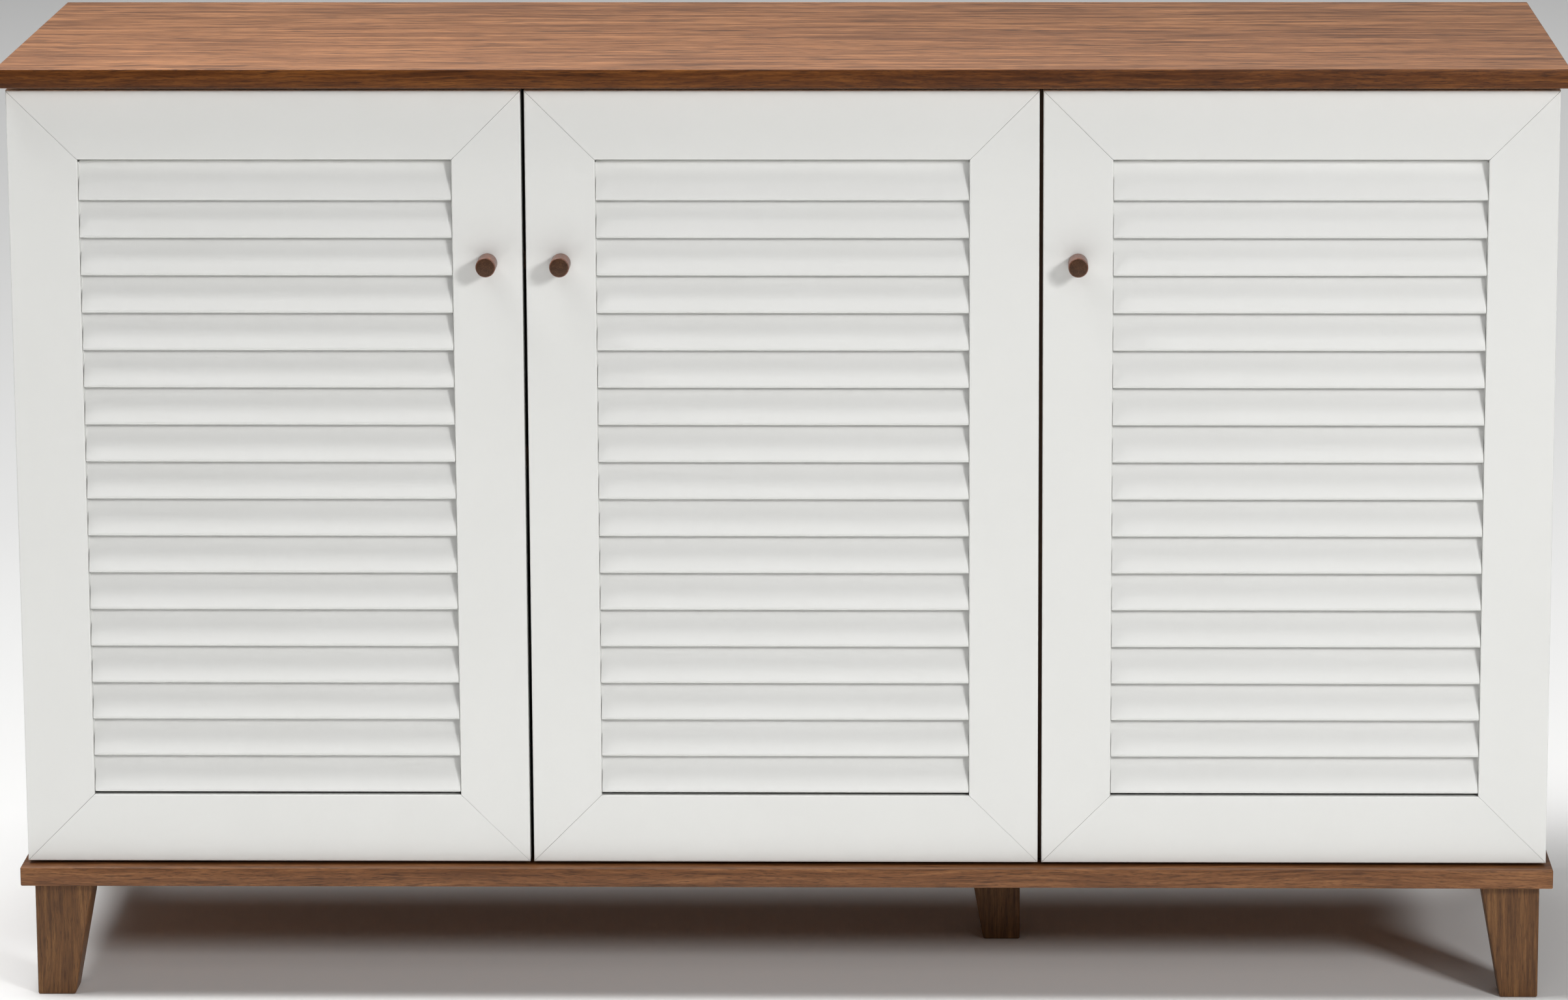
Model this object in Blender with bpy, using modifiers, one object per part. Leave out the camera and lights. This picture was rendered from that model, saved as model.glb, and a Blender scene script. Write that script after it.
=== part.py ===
"""Three-door shoe cabinet: louvred doors on a board carcass with five tapered legs.

Metres, +Z up. The doors face -Y. The origin is on the floor, under the middle of the
whole cabinet, and +X is to the right of someone who stands in front of it.
"""
import math

import bmesh
import bpy
from mathutils import Matrix, Vector

# ---- boards ----
TOP_WIDTH = 1.200
TOP_DEPTH = 0.400
BOARD = 0.015                # thickness of every board of the carcass
TOTAL_HEIGHT = 0.735
BASE_INSET = 0.0015          # base's ends inside the ends of the top
LEG_HEIGHT = 0.0912
BACK_BOARD = 0.005
JOINT_GAP = 0.0003           # between boards and fittings that touch
BOARD_ROUND = 0.0006         # eased arrises of a board

# ---- doors ----
DOOR_SETBACK = 0.012         # door fronts behind the front edge of the top
DOOR_THICKNESS = 0.018
TOP_OVERHANG = 0.0065        # top past the outer edge of an outer door
DOOR_GAP = 0.003             # between two doors
DOOR_GAP_TOP = 0.003
DOOR_GAP_BOTTOM = 0.0025
DOOR_CLOSE_GAP = 0.002       # between a door's back and the carcass
SIDE_INSET = 0.001           # side board behind the outer edge of its door
FRAME_WIDTH = 0.0535         # stiles and rails
FRAME_ROUND = 0.001          # front arrises of a stile or rail

# ---- louvres ----
SLATS = 17
SLAT_THICKNESS = 0.005
SLAT_TILT = math.radians(16.5)
SLAT_RECESS = 0.0005         # slats' lips behind the door's front
SLAT_LAP = 0.002             # a slat's lip below the top of the next slat
SLAT_CLEARANCE = 0.0007      # from the rails to the first and last slat
TONGUE_WIDTH = 0.010
TONGUE_THICKNESS = 0.003
STRIP_THICKNESS = 0.003      # strip in the stile's groove that ties the slats
STRIP_WIDTH = 0.012
STRIP_OFFSET = 0.0010        # strip behind the stile's inner edge
GROOVE_CLEARANCE = 0.0003

# ---- hinges ----
AXIS_FROM_EDGE = 0.005       # turning axis, in from the door's hinge edge
AXIS_FROM_BACK = 0.013       # turning axis, forward of the door's back face
CUP_DIAMETER = 0.035
CUP_DEPTH = 0.0115
CUP_WALL = 0.0012
CUP_FROM_EDGE = 0.0052       # cup's rim from the door's hinge edge
CUP_EAR_SIZE = (0.020, 0.0010, 0.056)
CUP_CLEARANCE = 0.0003
HINGE_FROM_END = 0.110       # hinge centre from the door's end
ARM_TIP_STANDOFF = 0.0047    # pivot barrel off the side board's inner face
ARM_TIP_DIP = 0.0080         # pivot barrel in front of the carcass front
ARM_BARREL_RADIUS = 0.0022
ARM_WIDTH = 0.012
ARM_BLADE = 0.0026
ARM_LENGTH = 0.060           # from the carcass front to the arm's rear end
ARM_BODY_START = 0.006
ARM_TOP_STANDOFF = 0.0102    # arm's top off the side board's inner face
PLATE_SIZE = (0.0022, 0.020, 0.048)
PLATE_FROM_FRONT = 0.037     # mounting plate's centre behind the carcass front

# ---- knobs ----
KNOB_LENGTH = 0.022
KNOB_RADIUS = 0.0076
KNOB_CHAMFER = 0.0009
KNOB_FROM_EDGE = 0.0267
KNOB_BELOW_DOOR_TOP = 0.1335
SCREW_RADIUS = 0.0020
SCREW_HEAD_RADIUS = 0.0045
SCREW_HEAD_HEIGHT = 0.0016
SCREW_REACH = 0.010          # thread inside the knob
SCREW_CLEARANCE = 0.0003

# ---- shelves and legs ----
SHELVES = 3
SHELF_SETBACK = 0.075        # shelf fronts behind the carcass front
LEG_TOP = 0.0455
LEG_BOTTOM = 0.0295
LEG_ROUND = 0.0015
LEG_FROM_SIDE = 0.0095
LEG_FROM_FRONT = 0.012
LEG_FROM_BACK = 0.030
MIDDLE_LEG_FROM_PARTITION = 0.037    # leg's centre left of the partition's centre

# ---- places that follow from the sizes above ----
BASE_WIDTH = TOP_WIDTH - 2 * BASE_INSET
DOORS_SPAN = TOP_WIDTH - 2 * TOP_OVERHANG
KNOB_REACH = max(KNOB_LENGTH - DOOR_SETBACK, 0.0)
FRONT = (KNOB_REACH - TOP_DEPTH) / 2
BACK = FRONT + TOP_DEPTH
TOP_UNDERSIDE = TOTAL_HEIGHT - BOARD
BASE_TOP = LEG_HEIGHT + BOARD
DOOR_FRONT = FRONT + DOOR_SETBACK
DOOR_BACK = DOOR_FRONT + DOOR_THICKNESS
CARCASS_FRONT = DOOR_BACK + DOOR_CLOSE_GAP
BOARD_BACK = BACK - BACK_BOARD - JOINT_GAP
DOOR_BOTTOM = BASE_TOP + DOOR_GAP_BOTTOM
DOOR_TOP = TOP_UNDERSIDE - DOOR_GAP_TOP
DOOR_WIDTH = (DOORS_SPAN - 2 * DOOR_GAP) / 3
DOOR_PITCH = DOOR_WIDTH + DOOR_GAP
SIDE_OUTER = DOORS_SPAN / 2 - SIDE_INSET
PARTITION_X = DOOR_PITCH / 2
AXIS_Y = DOOR_BACK - AXIS_FROM_BACK
ARM_TIP_FROM_EDGE = SIDE_INSET + BOARD + ARM_TIP_STANDOFF
ARM_TOP_FROM_EDGE = SIDE_INSET + BOARD + ARM_TOP_STANDOFF
KNOB_Z = DOOR_TOP - KNOB_BELOW_DOOR_TOP
OPENING_TOP = DOOR_TOP - FRAME_WIDTH
OPENING_BOTTOM = DOOR_BOTTOM + FRAME_WIDTH
GROOVE_DEPTH = STRIP_OFFSET + STRIP_THICKNESS + GROOVE_CLEARANCE

COLOURS = {
    "walnut_board": ((0.27, 0.15, 0.10), 0.45, 0.0),
    "carcass_board": ((0.24, 0.14, 0.10), 0.55, 0.0),
    "back_board": ((0.32, 0.24, 0.18), 0.70, 0.0),
    "white_door": ((0.78, 0.76, 0.74), 0.40, 0.0),
    "walnut_leg": ((0.22, 0.12, 0.08), 0.45, 0.0),
    "walnut_knob": ((0.12, 0.07, 0.05), 0.40, 0.0),
    "nickel": ((0.60, 0.60, 0.61), 0.30, 1.0),
}


def clear_scene():
    """Remove whatever objects the scene starts with."""
    for item in list(bpy.data.objects):
        bpy.data.objects.remove(item, do_unlink=True)


def make_collection(name):
    """Add a collection to the scene."""
    collection = bpy.data.collections.new(name)
    bpy.context.scene.collection.children.link(collection)
    return collection


def material(name):
    """Return the named Principled material, made on first use."""
    found = bpy.data.materials.get(name)
    if found:
        return found
    colour, roughness, metallic = COLOURS[name]
    made = bpy.data.materials.new(name)
    made.use_nodes = True
    shader = made.node_tree.nodes["Principled BSDF"]
    shader.inputs["Base Color"].default_value = (*colour, 1.0)
    shader.inputs["Roughness"].default_value = roughness
    shader.inputs["Metallic"].default_value = metallic
    return made


def object_from(bm, name, collection, slot=None, at=(0, 0, 0)):
    """Turn a bmesh into a named object at a place."""
    mesh = bpy.data.meshes.new(name)
    bm.to_mesh(mesh)
    bm.free()
    made = bpy.data.objects.new(name, mesh)
    made.location = at
    collection.objects.link(made)
    if slot:
        mesh.materials.append(material(slot))
    return made


def box_mesh(low, high):
    """Return a bmesh box between two corners."""
    bm = bmesh.new()
    bmesh.ops.create_cube(bm, size=1.0)
    size = [b - a for a, b in zip(low, high)]
    bmesh.ops.scale(bm, vec=size, verts=bm.verts)
    centre = [(a + b) / 2 for a, b in zip(low, high)]
    bmesh.ops.translate(bm, vec=centre, verts=bm.verts)
    return bm


def round_edges(bm, width, segments=2, keep=lambda edge: True):
    """Bevel the edges that keep accepts."""
    edges = [edge for edge in bm.edges if keep(edge)]
    bmesh.ops.bevel(bm, geom=edges, offset=width, segments=segments, profile=0.5,
                    affect='EDGES', clamp_overlap=True)


def cylinder_mesh(radius, length, segments, matrix):
    """Return a closed cylinder along its matrix's Z axis, centred on it."""
    bm = bmesh.new()
    bmesh.ops.create_cone(bm, cap_ends=True, segments=segments, radius1=radius,
                          radius2=radius, depth=length, matrix=matrix)
    return bm


def boolean(target, other, operation):
    """Add an exact Boolean of another object to the target."""
    modifier = target.modifiers.new(f"{operation.lower()}_{other.name}", 'BOOLEAN')
    modifier.operation = operation
    modifier.solver = 'EXACT'
    modifier.object = other
    return modifier


def as_helper(item):
    """Mark an object as a cutter or tool that isn't a piece of the cabinet."""
    item.hide_render = True
    item.display_type = 'WIRE'
    return item


def tool_along_y(name, x, z, radius, front, back, segments=32):
    """Make a round tool along Y between two depths."""
    matrix = Matrix.Translation((x, (front + back) / 2, z))
    matrix = matrix @ Matrix.Rotation(math.radians(90), 4, 'X')
    bm = cylinder_mesh(radius, back - front, segments, matrix)
    return as_helper(object_from(bm, name, CUTTERS))


def board(name, low, high, slot, rounding=BOARD_ROUND):
    """Make one board between two corners, with eased arrises."""
    centre = [(a + b) / 2 for a, b in zip(low, high)]
    half = [(b - a) / 2 for a, b in zip(low, high)]
    bm = box_mesh([-h for h in half], half)
    if rounding:
        round_edges(bm, min(rounding, min(half) * 0.6), 1)
    return object_from(bm, name, PARTS, slot, centre)


def build_boards():
    """Top, base, sides, partition and the two back panels."""
    board("top_panel", (-TOP_WIDTH / 2, FRONT, TOP_UNDERSIDE),
          (TOP_WIDTH / 2, BACK, TOTAL_HEIGHT), "walnut_board", 0.001)
    board("base_panel", (-BASE_WIDTH / 2, FRONT, LEG_HEIGHT),
          (BASE_WIDTH / 2, BACK, BASE_TOP), "walnut_board", 0.001)
    low_z = BASE_TOP + JOINT_GAP
    high_z = TOP_UNDERSIDE - JOINT_GAP
    for name, outer, inner in (("left_side_panel", -SIDE_OUTER, -SIDE_OUTER + BOARD),
                               ("right_side_panel", SIDE_OUTER - BOARD, SIDE_OUTER),
                               ("partition_panel", PARTITION_X - BOARD / 2,
                                PARTITION_X + BOARD / 2)):
        board(name, (outer, CARCASS_FRONT, low_z), (inner, BOARD_BACK, high_z),
              "carcass_board")
    half_gap = JOINT_GAP / 2
    for name, left, right in (("back_panel_wide", -SIDE_OUTER, PARTITION_X - half_gap),
                              ("back_panel_narrow", PARTITION_X + half_gap, SIDE_OUTER)):
        board(name, (left, BACK - BACK_BOARD, low_z), (right, BACK, high_z), "back_board")


def build_shelves():
    """Evenly spaced shelves in the wide and the narrow compartment."""
    spans = {"wide": (-SIDE_OUTER + BOARD + JOINT_GAP, PARTITION_X - BOARD / 2 - JOINT_GAP),
             "narrow": (PARTITION_X + BOARD / 2 + JOINT_GAP, SIDE_OUTER - BOARD - JOINT_GAP)}
    clear = (TOP_UNDERSIDE - BASE_TOP - SHELVES * BOARD) / (SHELVES + 1)
    for side, (left, right) in spans.items():
        for count in range(1, SHELVES + 1):
            bottom = BASE_TOP + count * clear + (count - 1) * BOARD
            board(f"{side}_shelf_{count}",
                  (left, CARCASS_FRONT + SHELF_SETBACK, bottom),
                  (right, BOARD_BACK, bottom + BOARD), "carcass_board")


def leg(name, centre_x, centre_y, taper_x, taper_y):
    """Make a square leg whose taper signs say which sides slant inwards."""
    height = LEG_HEIGHT - JOINT_GAP
    half = LEG_TOP / 2
    bm = box_mesh((-half, -half, 0), (half, half, height))
    taper = LEG_TOP - LEG_BOTTOM
    for vert in bm.verts:
        if vert.co.z > height / 2:
            continue
        if vert.co.x * taper_x > 0:
            vert.co.x -= taper_x * taper
        if vert.co.y * taper_y > 0:
            vert.co.y -= taper_y * taper
    round_edges(bm, LEG_ROUND, 2, lambda edge: not all(
        vert.co.z > height - 1e-6 for vert in edge.verts))
    return object_from(bm, name, PARTS, "walnut_leg", (centre_x, centre_y, 0))


def build_legs():
    """Four corner legs and a middle leg under the wide compartment's end."""
    outer_x = BASE_WIDTH / 2 - LEG_FROM_SIDE - LEG_TOP / 2
    front_y = FRONT + LEG_FROM_FRONT + LEG_TOP / 2
    rear_y = BACK - LEG_FROM_BACK - LEG_TOP / 2
    for side, sign in (("left", -1), ("right", 1)):
        leg(f"front_{side}_leg", sign * outer_x, front_y, -sign, 1)
        leg(f"rear_{side}_leg", sign * outer_x, rear_y, -sign, -1)
    leg("middle_leg", PARTITION_X - MIDDLE_LEG_FROM_PARTITION, (FRONT + BACK) / 2, -1, 0)


class Door:
    """One louvred door, with its hinge side: -1 for left, 1 for right."""

    def __init__(self, name, centre_x, hinge_side, panel_face_x):
        self.name = name
        self.centre_x = centre_x
        self.side = hinge_side
        self.panel_face_x = panel_face_x
        self.edge_x = centre_x + hinge_side * DOOR_WIDTH / 2
        self.axis_x = self.edge_x - hinge_side * AXIS_FROM_EDGE
        self.pivot = bpy.data.objects.new(f"{name}_axis", None)
        self.pivot.location = (self.axis_x, AXIS_Y, 0)
        PARTS.objects.link(self.pivot)

    def attach(self, item):
        """Parent a piece to the door's turning axis without moving it."""
        item.parent = self.pivot
        item.location = Vector(item.location) - self.pivot.location
        return item

    def inward(self, distance):
        """World x at a distance from the hinge edge towards the knob edge."""
        return self.edge_x - self.side * distance

    def hinge_heights(self):
        """Heights of the two hinges."""
        return (("upper", DOOR_TOP - HINGE_FROM_END), ("lower", DOOR_BOTTOM + HINGE_FROM_END))

    def frame_member(self, suffix, length, centre, along_x, inner_sign):
        """Make a stile or a rail with mitred ends.

        The member is drawn along X with its inner edge at +Y, and then turned.
        """
        half = FRAME_WIDTH / 2
        mitre_gap = JOINT_GAP / math.sqrt(2)
        bm = box_mesh((-length / 2, -half, -DOOR_THICKNESS / 2),
                      (length / 2, half, DOOR_THICKNESS / 2))
        for vert in bm.verts:
            end = 1 if vert.co.x > 0 else -1
            cut = FRAME_WIDTH if vert.co.y > 0 else 0.0
            vert.co.x -= end * (cut + (0.0 if along_x else 2 * mitre_gap))
        lengthwise = [edge for edge in bm.edges
                      if abs(edge.verts[0].co.y - edge.verts[1].co.y) < 1e-6
                      and abs(edge.verts[0].co.z - edge.verts[1].co.z) < 1e-6]
        bmesh.ops.bevel(bm, geom=lengthwise, offset=FRAME_ROUND, segments=3, profile=0.5,
                        affect='EDGES')
        upright = Matrix.Rotation(math.radians(90), 4, 'X')
        bmesh.ops.transform(bm, matrix=upright, verts=bm.verts)
        angle = {(True, 1): 0.0, (True, -1): 180.0, (False, 1): -90.0, (False, -1): 90.0}
        turn = Matrix.Rotation(-math.radians(angle[(along_x, inner_sign)]), 4, 'Y')
        bmesh.ops.transform(bm, matrix=turn, verts=bm.verts)
        return self.attach(object_from(bm, f"{self.name}_{suffix}", PARTS, "white_door", centre))

    def build_frame(self):
        """Two stiles and two rails."""
        middle_y = (DOOR_FRONT + DOOR_BACK) / 2
        middle_z = (DOOR_TOP + DOOR_BOTTOM) / 2
        height = DOOR_TOP - DOOR_BOTTOM
        self.frame_member("top_rail", DOOR_WIDTH,
                          (self.centre_x, middle_y, DOOR_TOP - FRAME_WIDTH / 2), True, -1)
        self.frame_member("bottom_rail", DOOR_WIDTH,
                          (self.centre_x, middle_y, DOOR_BOTTOM + FRAME_WIDTH / 2), True, 1)
        stiles = {}
        for suffix, side in (("hinge_stile", self.side), ("knob_stile", -self.side)):
            x = self.centre_x + side * (DOOR_WIDTH - FRAME_WIDTH) / 2
            stile = self.frame_member(suffix, height, (x, middle_y, middle_z), False, -side)
            self.cut_groove(stile, side)
            stiles[suffix] = stile
        self.cut_cup_bores(stiles["hinge_stile"])
        self.cut_screw_bore(stiles["knob_stile"])

    def cut_groove(self, stile, side):
        """Cut the groove that takes the ends of the slats."""
        inner_x = self.centre_x + side * (DOOR_WIDTH / 2 - FRAME_WIDTH)
        half = STRIP_WIDTH / 2 + GROOVE_CLEARANCE
        middle_y = (DOOR_FRONT + DOOR_BACK) / 2
        reach = inner_x + side * GROOVE_DEPTH
        start = inner_x - side * FRAME_ROUND
        low = (min(reach, start), middle_y - half, OPENING_BOTTOM + SLAT_CLEARANCE)
        high = (max(reach, start), middle_y + half, OPENING_TOP - SLAT_CLEARANCE)
        cutter = as_helper(object_from(box_mesh(low, high), f"{stile.name}_groove", CUTTERS))
        boolean(stile, cutter, 'DIFFERENCE')

    def cut_cup_bores(self, stile):
        """Bore the hinge stile for its two cups."""
        x = self.inward(CUP_FROM_EDGE + CUP_DIAMETER / 2)
        for place, z in self.hinge_heights():
            cutter = tool_along_y(f"{stile.name}_{place}_bore", x, z,
                                  CUP_DIAMETER / 2 + CUP_CLEARANCE,
                                  DOOR_BACK - CUP_DEPTH - CUP_CLEARANCE,
                                  DOOR_BACK + DOOR_THICKNESS)
            boolean(stile, cutter, 'DIFFERENCE')

    def cut_screw_bore(self, stile):
        """Bore the knob stile through for the knob's screw."""
        cutter = tool_along_y(f"{stile.name}_screw_bore", self.knob_x(), KNOB_Z,
                              SCREW_RADIUS + SCREW_CLEARANCE,
                              DOOR_FRONT - DOOR_THICKNESS, DOOR_BACK + DOOR_THICKNESS, 16)
        boolean(stile, cutter, 'DIFFERENCE')

    def knob_x(self):
        """World x of the knob's centre."""
        return self.inward(DOOR_WIDTH - KNOB_FROM_EDGE)

    def build_louvres(self):
        """Make the slats, tied at their ends by a strip in each stile's groove."""
        opening = DOOR_WIDTH - 2 * FRAME_WIDTH
        height = OPENING_TOP - OPENING_BOTTOM - 2 * SLAT_CLEARANCE
        pitch = (height - SLAT_LAP) / SLATS
        rise = pitch + SLAT_LAP
        width = (rise - SLAT_THICKNESS * math.sin(SLAT_TILT)) / math.cos(SLAT_TILT)
        half_x = opening / 2 - JOINT_GAP
        tongue_x = opening / 2 + STRIP_OFFSET + STRIP_THICKNESS / 2
        reach = width * math.sin(SLAT_TILT) + SLAT_THICKNESS * math.cos(SLAT_TILT)
        slat_y = DOOR_FRONT + SLAT_RECESS + reach / 2
        middle_y = (DOOR_FRONT + DOOR_BACK) / 2
        tilt = Matrix.Rotation(-SLAT_TILT, 4, 'X')
        name = f"{self.name}_louvres"
        first_z = OPENING_BOTTOM + SLAT_CLEARANCE + rise / 2

        slat = box_mesh((-half_x, -SLAT_THICKNESS / 2, -width / 2),
                        (half_x, SLAT_THICKNESS / 2, width / 2))
        round_edges(slat, SLAT_THICKNESS * 0.35, 3, lambda edge: abs(
            edge.verts[0].co.x - edge.verts[1].co.x) > half_x)
        bmesh.ops.transform(slat, matrix=tilt, verts=slat.verts)
        panel = object_from(slat, name, PARTS, "white_door", (self.centre_x, slat_y, first_z))
        self.repeat(panel, pitch)

        tongue = box_mesh((-tongue_x, -TONGUE_THICKNESS / 2, -TONGUE_WIDTH / 2),
                          (tongue_x, TONGUE_THICKNESS / 2, TONGUE_WIDTH / 2))
        bmesh.ops.transform(tongue, matrix=tilt, verts=tongue.verts)
        tongues = as_helper(object_from(tongue, f"{name}_tongues", CUTTERS, None,
                                        (self.centre_x, slat_y, first_z)))
        self.repeat(tongues, pitch)
        boolean(panel, tongues, 'UNION')

        for side in (-1, 1):
            near = opening / 2 + STRIP_OFFSET
            far = near + STRIP_THICKNESS
            xs = sorted((self.centre_x + side * near, self.centre_x + side * far))
            low = (xs[0], middle_y - STRIP_WIDTH / 2, OPENING_BOTTOM + 2 * SLAT_CLEARANCE)
            high = (xs[1], middle_y + STRIP_WIDTH / 2, OPENING_TOP - 2 * SLAT_CLEARANCE)
            label = "left" if side < 0 else "right"
            strip = as_helper(object_from(box_mesh(low, high), f"{name}_{label}_strip", CUTTERS))
            boolean(panel, strip, 'UNION')
        return self.attach(panel)

    def repeat(self, item, pitch):
        """Repeat a slat or its tongue up the door."""
        array = item.modifiers.new("slats", 'ARRAY')
        array.count = SLATS
        array.use_relative_offset = False
        array.use_constant_offset = True
        array.constant_offset_displace = (0, 0, pitch)
        array.use_merge_vertices = False

    def build_knob(self):
        """Turn the knob and the machine screw that holds it from behind."""
        length = KNOB_LENGTH
        radius = KNOB_RADIUS
        bore = SCREW_RADIUS + SCREW_CLEARANCE
        bore_depth = SCREW_REACH + SCREW_CLEARANCE
        profile = [(0, length), (radius - KNOB_CHAMFER, length),
                   (radius, length - KNOB_CHAMFER), (radius, JOINT_GAP),
                   (bore, JOINT_GAP), (bore, bore_depth), (0, bore_depth)]
        knob = self.turned("knob", profile, "walnut_knob", DOOR_FRONT, -1)
        head_r = SCREW_HEAD_RADIUS
        top = SCREW_HEAD_HEIGHT
        shank = DOOR_THICKNESS + SCREW_REACH + JOINT_GAP
        profile = [(0, top), (head_r * 0.6, top), (head_r, top * 0.4), (head_r, 0),
                   (SCREW_RADIUS, 0), (SCREW_RADIUS, -shank), (0, -shank)]
        screw = self.turned("knob_screw", profile, "nickel", DOOR_BACK + JOINT_GAP, 1)
        return knob, screw

    def turned(self, suffix, profile, slot, y, direction):
        """Spin a profile of (radius, distance) pairs about a line along Y."""
        bm = bmesh.new()
        verts = [bm.verts.new((radius, 0, distance)) for radius, distance in profile]
        for start, end in zip(verts, verts[1:]):
            bm.edges.new((start, end))
        name = f"{self.name}_{suffix}"
        item = object_from(bm, name, PARTS, slot, (self.knob_x(), y, KNOB_Z))
        item.rotation_euler = (math.radians(-90 * direction), 0, 0)
        screw = item.modifiers.new("turn", 'SCREW')
        screw.steps = 32
        screw.render_steps = 32
        screw.use_merge_vertices = True
        screw.merge_threshold = 0.00001
        screw.use_smooth_shade = True
        return self.attach(item)

    def build_hinges(self):
        """Make two cups on the door and two arms on the carcass."""
        for place, z in self.hinge_heights():
            self.build_cup(place, z)
            self.build_arm(place, z)

    def build_cup(self, place, z):
        """Make a hinge cup with the ears that screw it to the door."""
        x = self.inward(CUP_FROM_EDGE + CUP_DIAMETER / 2)
        name = f"{self.name}_{place}_hinge_cup"
        ear_x, ear_y, ear_z = CUP_EAR_SIZE
        low = (-ear_x / 2, DOOR_BACK + CUP_CLEARANCE, -ear_z / 2)
        high = (ear_x / 2, DOOR_BACK + CUP_CLEARANCE + ear_y, ear_z / 2)
        cup = object_from(box_mesh(low, high), name, PARTS, "nickel", (x, 0, z))
        outer = tool_along_y(f"{name}_shell", x, z, CUP_DIAMETER / 2,
                              DOOR_BACK - CUP_DEPTH, DOOR_BACK + CUP_CLEARANCE + ear_y)
        pocket = tool_along_y(f"{name}_pocket", x, z, CUP_DIAMETER / 2 - CUP_WALL,
                               DOOR_BACK - CUP_DEPTH + CUP_WALL, DOOR_BACK + 0.010)
        boolean(cup, outer, 'UNION')
        boolean(cup, pocket, 'DIFFERENCE')
        return self.attach(cup)

    def build_arm(self, place, z):
        """Make the arm and mounting plate on the carcass board beside the door."""
        name = f"{self.name}_{place}_hinge_arm"
        side = self.side
        tip_x = self.inward(ARM_TIP_FROM_EDGE)
        tip_y = CARCASS_FRONT - ARM_TIP_DIP
        face_x = self.panel_face_x - side * JOINT_GAP
        top_x = self.inward(ARM_TOP_FROM_EDGE)
        blade_x = tip_x + side * ARM_BARREL_RADIUS
        body_y = CARCASS_FRONT + ARM_BODY_START
        half = ARM_WIDTH / 2

        def block(label, x_a, x_b, y_a, y_b, half_z):
            low = (min(x_a, x_b), min(y_a, y_b), z - half_z)
            high = (max(x_a, x_b), max(y_a, y_b), z + half_z)
            collection = PARTS if label is None else CUTTERS
            full = name if label is None else f"{name}_{label}"
            slot = "nickel" if label is None else None
            return object_from(box_mesh(low, high), full, collection, slot)

        arm = block(None, face_x, top_x, body_y, CARCASS_FRONT + ARM_LENGTH, half)
        blade = block("blade", blade_x - side * 0.0002, blade_x - side * ARM_BLADE,
                      tip_y, body_y + 0.004, half * 0.9)
        plate_x, plate_y, plate_z = PLATE_SIZE
        plate_mid = CARCASS_FRONT + PLATE_FROM_FRONT
        plate = block("plate", face_x, face_x - side * plate_x, plate_mid - plate_y / 2,
                      plate_mid + plate_y / 2, plate_z / 2)
        barrel = object_from(cylinder_mesh(ARM_BARREL_RADIUS, ARM_WIDTH, 20,
                                           Matrix.Translation((tip_x, tip_y, z))),
                             f"{name}_barrel", CUTTERS)
        for tool in (blade, plate, barrel):
            boolean(arm, as_helper(tool), 'UNION')
        return arm

    def build(self):
        """Build every piece of the door."""
        self.build_frame()
        self.build_louvres()
        self.build_knob()
        self.build_hinges()


def build_doors():
    """Left door hinged on the left side; middle door and right door on the right."""
    left_face = -SIDE_OUTER + BOARD
    partition_face = PARTITION_X - BOARD / 2
    right_face = SIDE_OUTER - BOARD
    for name, centre_x, side, face in (("left_door", -DOOR_PITCH, -1, left_face),
                                       ("middle_door", 0.0, 1, partition_face),
                                       ("right_door", DOOR_PITCH, 1, right_face)):
        Door(name, centre_x, side, face).build()


clear_scene()
PARTS = make_collection("shoe_cabinet")
CUTTERS = make_collection("cutters")
build_boards()
build_shelves()
build_legs()
build_doors()
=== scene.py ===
"""Looks of a three-door shoe cabinet with louvred doors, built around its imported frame."""

import logging
import math
from collections.abc import Callable
from dataclasses import dataclass, fields
from enum import Enum

import bpy
from mathutils import Matrix, Vector


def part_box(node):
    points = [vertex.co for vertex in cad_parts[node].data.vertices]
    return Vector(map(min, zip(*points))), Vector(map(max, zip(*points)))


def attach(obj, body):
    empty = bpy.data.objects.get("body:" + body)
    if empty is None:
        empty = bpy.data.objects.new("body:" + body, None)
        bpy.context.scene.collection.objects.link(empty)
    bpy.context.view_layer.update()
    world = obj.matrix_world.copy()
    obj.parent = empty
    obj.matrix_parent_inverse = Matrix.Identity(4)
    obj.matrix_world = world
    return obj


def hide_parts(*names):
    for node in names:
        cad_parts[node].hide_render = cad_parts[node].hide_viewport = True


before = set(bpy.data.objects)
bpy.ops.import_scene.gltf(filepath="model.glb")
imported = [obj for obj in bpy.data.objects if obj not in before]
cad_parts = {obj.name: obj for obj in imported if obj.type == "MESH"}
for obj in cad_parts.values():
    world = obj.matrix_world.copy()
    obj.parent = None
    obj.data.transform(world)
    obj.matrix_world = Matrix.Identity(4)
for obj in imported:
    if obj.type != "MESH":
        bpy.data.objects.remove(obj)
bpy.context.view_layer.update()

logging.basicConfig(level=logging.INFO, format="%(message)s")
LOG = logging.getLogger("shoe_cabinet")

MM = 0.001
FLUSH = 1e-5    # metres within which two places count as the same
Test = Callable[[object, bpy.types.Mesh], bool]


class Axis(Enum):
    """A world axis by its index in a vector."""

    X = 0
    Y = 1
    Z = 2


# ---------------------------------------------------------------- material helpers


def linear(hex_colour: str) -> tuple[float, float, float, float]:
    """Turn an sRGB hex colour into linear RGBA.

    Args:
        hex_colour: six hex digits, such as "c0a080".

    Returns:
        The colour as linear red, green, blue and an alpha of one.
    """
    channels = [int(hex_colour[i:i + 2], 16) / 255 for i in (0, 2, 4)]
    lit = [c / 12.92 if c <= 0.04045 else ((c + 0.055) / 1.055) ** 2.4 for c in channels]
    return (lit[0], lit[1], lit[2], 1.0)


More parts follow.
